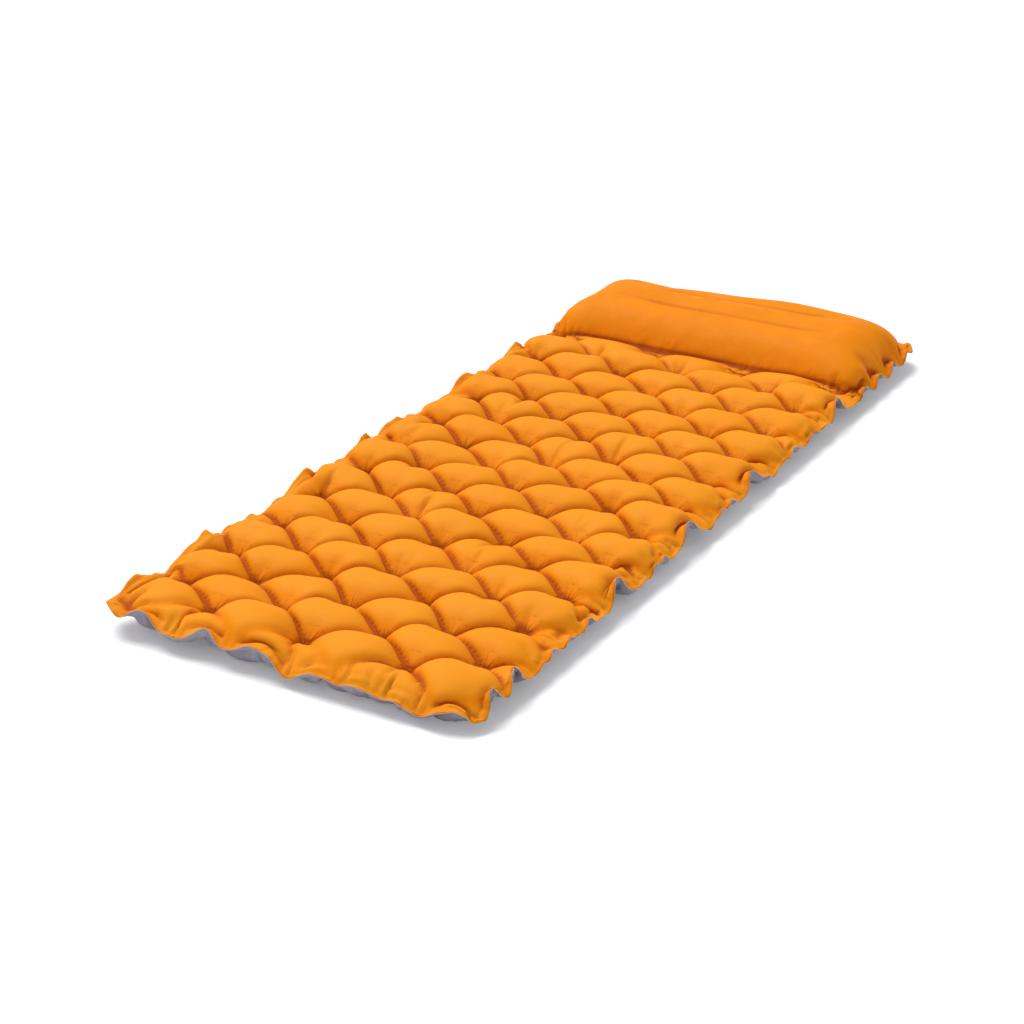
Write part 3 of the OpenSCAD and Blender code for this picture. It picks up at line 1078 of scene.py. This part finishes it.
mattress = sheet_mesh("mattress_top", cloth, 0, (0, seam_row + 2))
pillow = sheet_mesh("pillow_top", cloth, 0, (seam_row - 1, last_row), FABRIC, hole=True)
bottom = sheet_mesh("bottom", cloth, 1, (0, last_row))
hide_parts("mattress_top_sheet")
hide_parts("pillow_top_sheet")
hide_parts("bottom_sheet")
for end, y in zip(("front", "rear"), BAFFLE_Y):
    baffle_mesh(f"baffle_{end}", cloth, y)
    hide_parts(f"pillow_baffle_{end}")

plug_web = web_mesh("plug_web", PLUG_WEB)
cap_web = web_mesh("cap_web", CAP_WEB)
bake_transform(plug_web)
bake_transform(cap_web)

# ---------------------------------------------------------------------------
# Floor, light and camera
# ---------------------------------------------------------------------------
# Camera: its turn round and height over the target as angles, its lens and sensor in millimetres,
# and its distance from the target in metres.
AZIMUTH = math.radians(29.98)
ELEVATION = math.radians(24.65)
LENS = 82.7
SENSOR = 36
DISTANCE = 4.267
TARGET = (0.068, -0.300, 0.066)

FLOOR_HALF = 30.0
FLOOR_TONES = ((0.89, 0.89, 0.895), (0.91, 0.91, 0.915))
FLOOR_GLOW = 0.15
SKY_STRENGTH = 0.51

# The sun: where it stands from the pad, its strength, and its width in degrees.
SUN_TOWARDS = (-0.50, 0.18, 1.0)
SUN_STRENGTH = 2.70
SUN_SPREAD = 38


def make_camera():
    data = bpy.data.cameras.new("camera")
    data.lens = LENS
    data.sensor_width = SENSOR
    camera = bpy.data.objects.new("camera", data)
    back = (
        math.sin(AZIMUTH) * math.cos(ELEVATION),
        -math.cos(AZIMUTH) * math.cos(ELEVATION),
        math.sin(ELEVATION),
    )
    camera.location = [t + DISTANCE * b for t, b in zip(TARGET, back)]
    camera.rotation_euler = (math.pi / 2 - ELEVATION, 0, AZIMUTH)
    bpy.context.collection.objects.link(camera)
    bpy.context.scene.camera = camera


def make_floor():
    mesh = bpy.data.meshes.new("floor")
    corners = [(x * FLOOR_HALF, y * FLOOR_HALF, 0) for x, y in ((-1, -1), (1, -1), (1, 1), (-1, 1))]
    mesh.from_pydata(corners, [], [(0, 1, 2, 3)])
    s = Shader("floor")
    tone = s.noise(s.object_space(), scale=3)
    s.set(base_color=s.mix(tone, *FLOOR_TONES), roughness=0.6)
    s.set(emission_color=(1.0, 1.0, 1.0, 1.0), emission_strength=FLOOR_GLOW)
    mesh.materials.append(s.material)
    new_object("floor", mesh)


def make_sun():
    """Wide soft sun over the pad's left side."""
    data = bpy.data.lights.new("key", "SUN")
    data.energy = SUN_STRENGTH
    data.angle = math.radians(SUN_SPREAD)
    lamp = bpy.data.objects.new("key", data)
    x, y, z = np.array(SUN_TOWARDS) / np.linalg.norm(SUN_TOWARDS)
    lamp.rotation_euler = (math.acos(z), 0, math.atan2(y, x) + math.pi / 2)
    bpy.context.collection.objects.link(lamp)


def make_sky():
    world = bpy.data.worlds.new("world")
    world.use_nodes = True
    sky = world.node_tree.nodes["Background"]
    sky.inputs["Color"].default_value = (1, 1, 1, 1)
    sky.inputs["Strength"].default_value = SKY_STRENGTH
    bpy.context.scene.world = world


make_camera()
make_floor()
make_sky()
make_sun()
bpy.context.scene.view_settings.view_transform = "Standard"
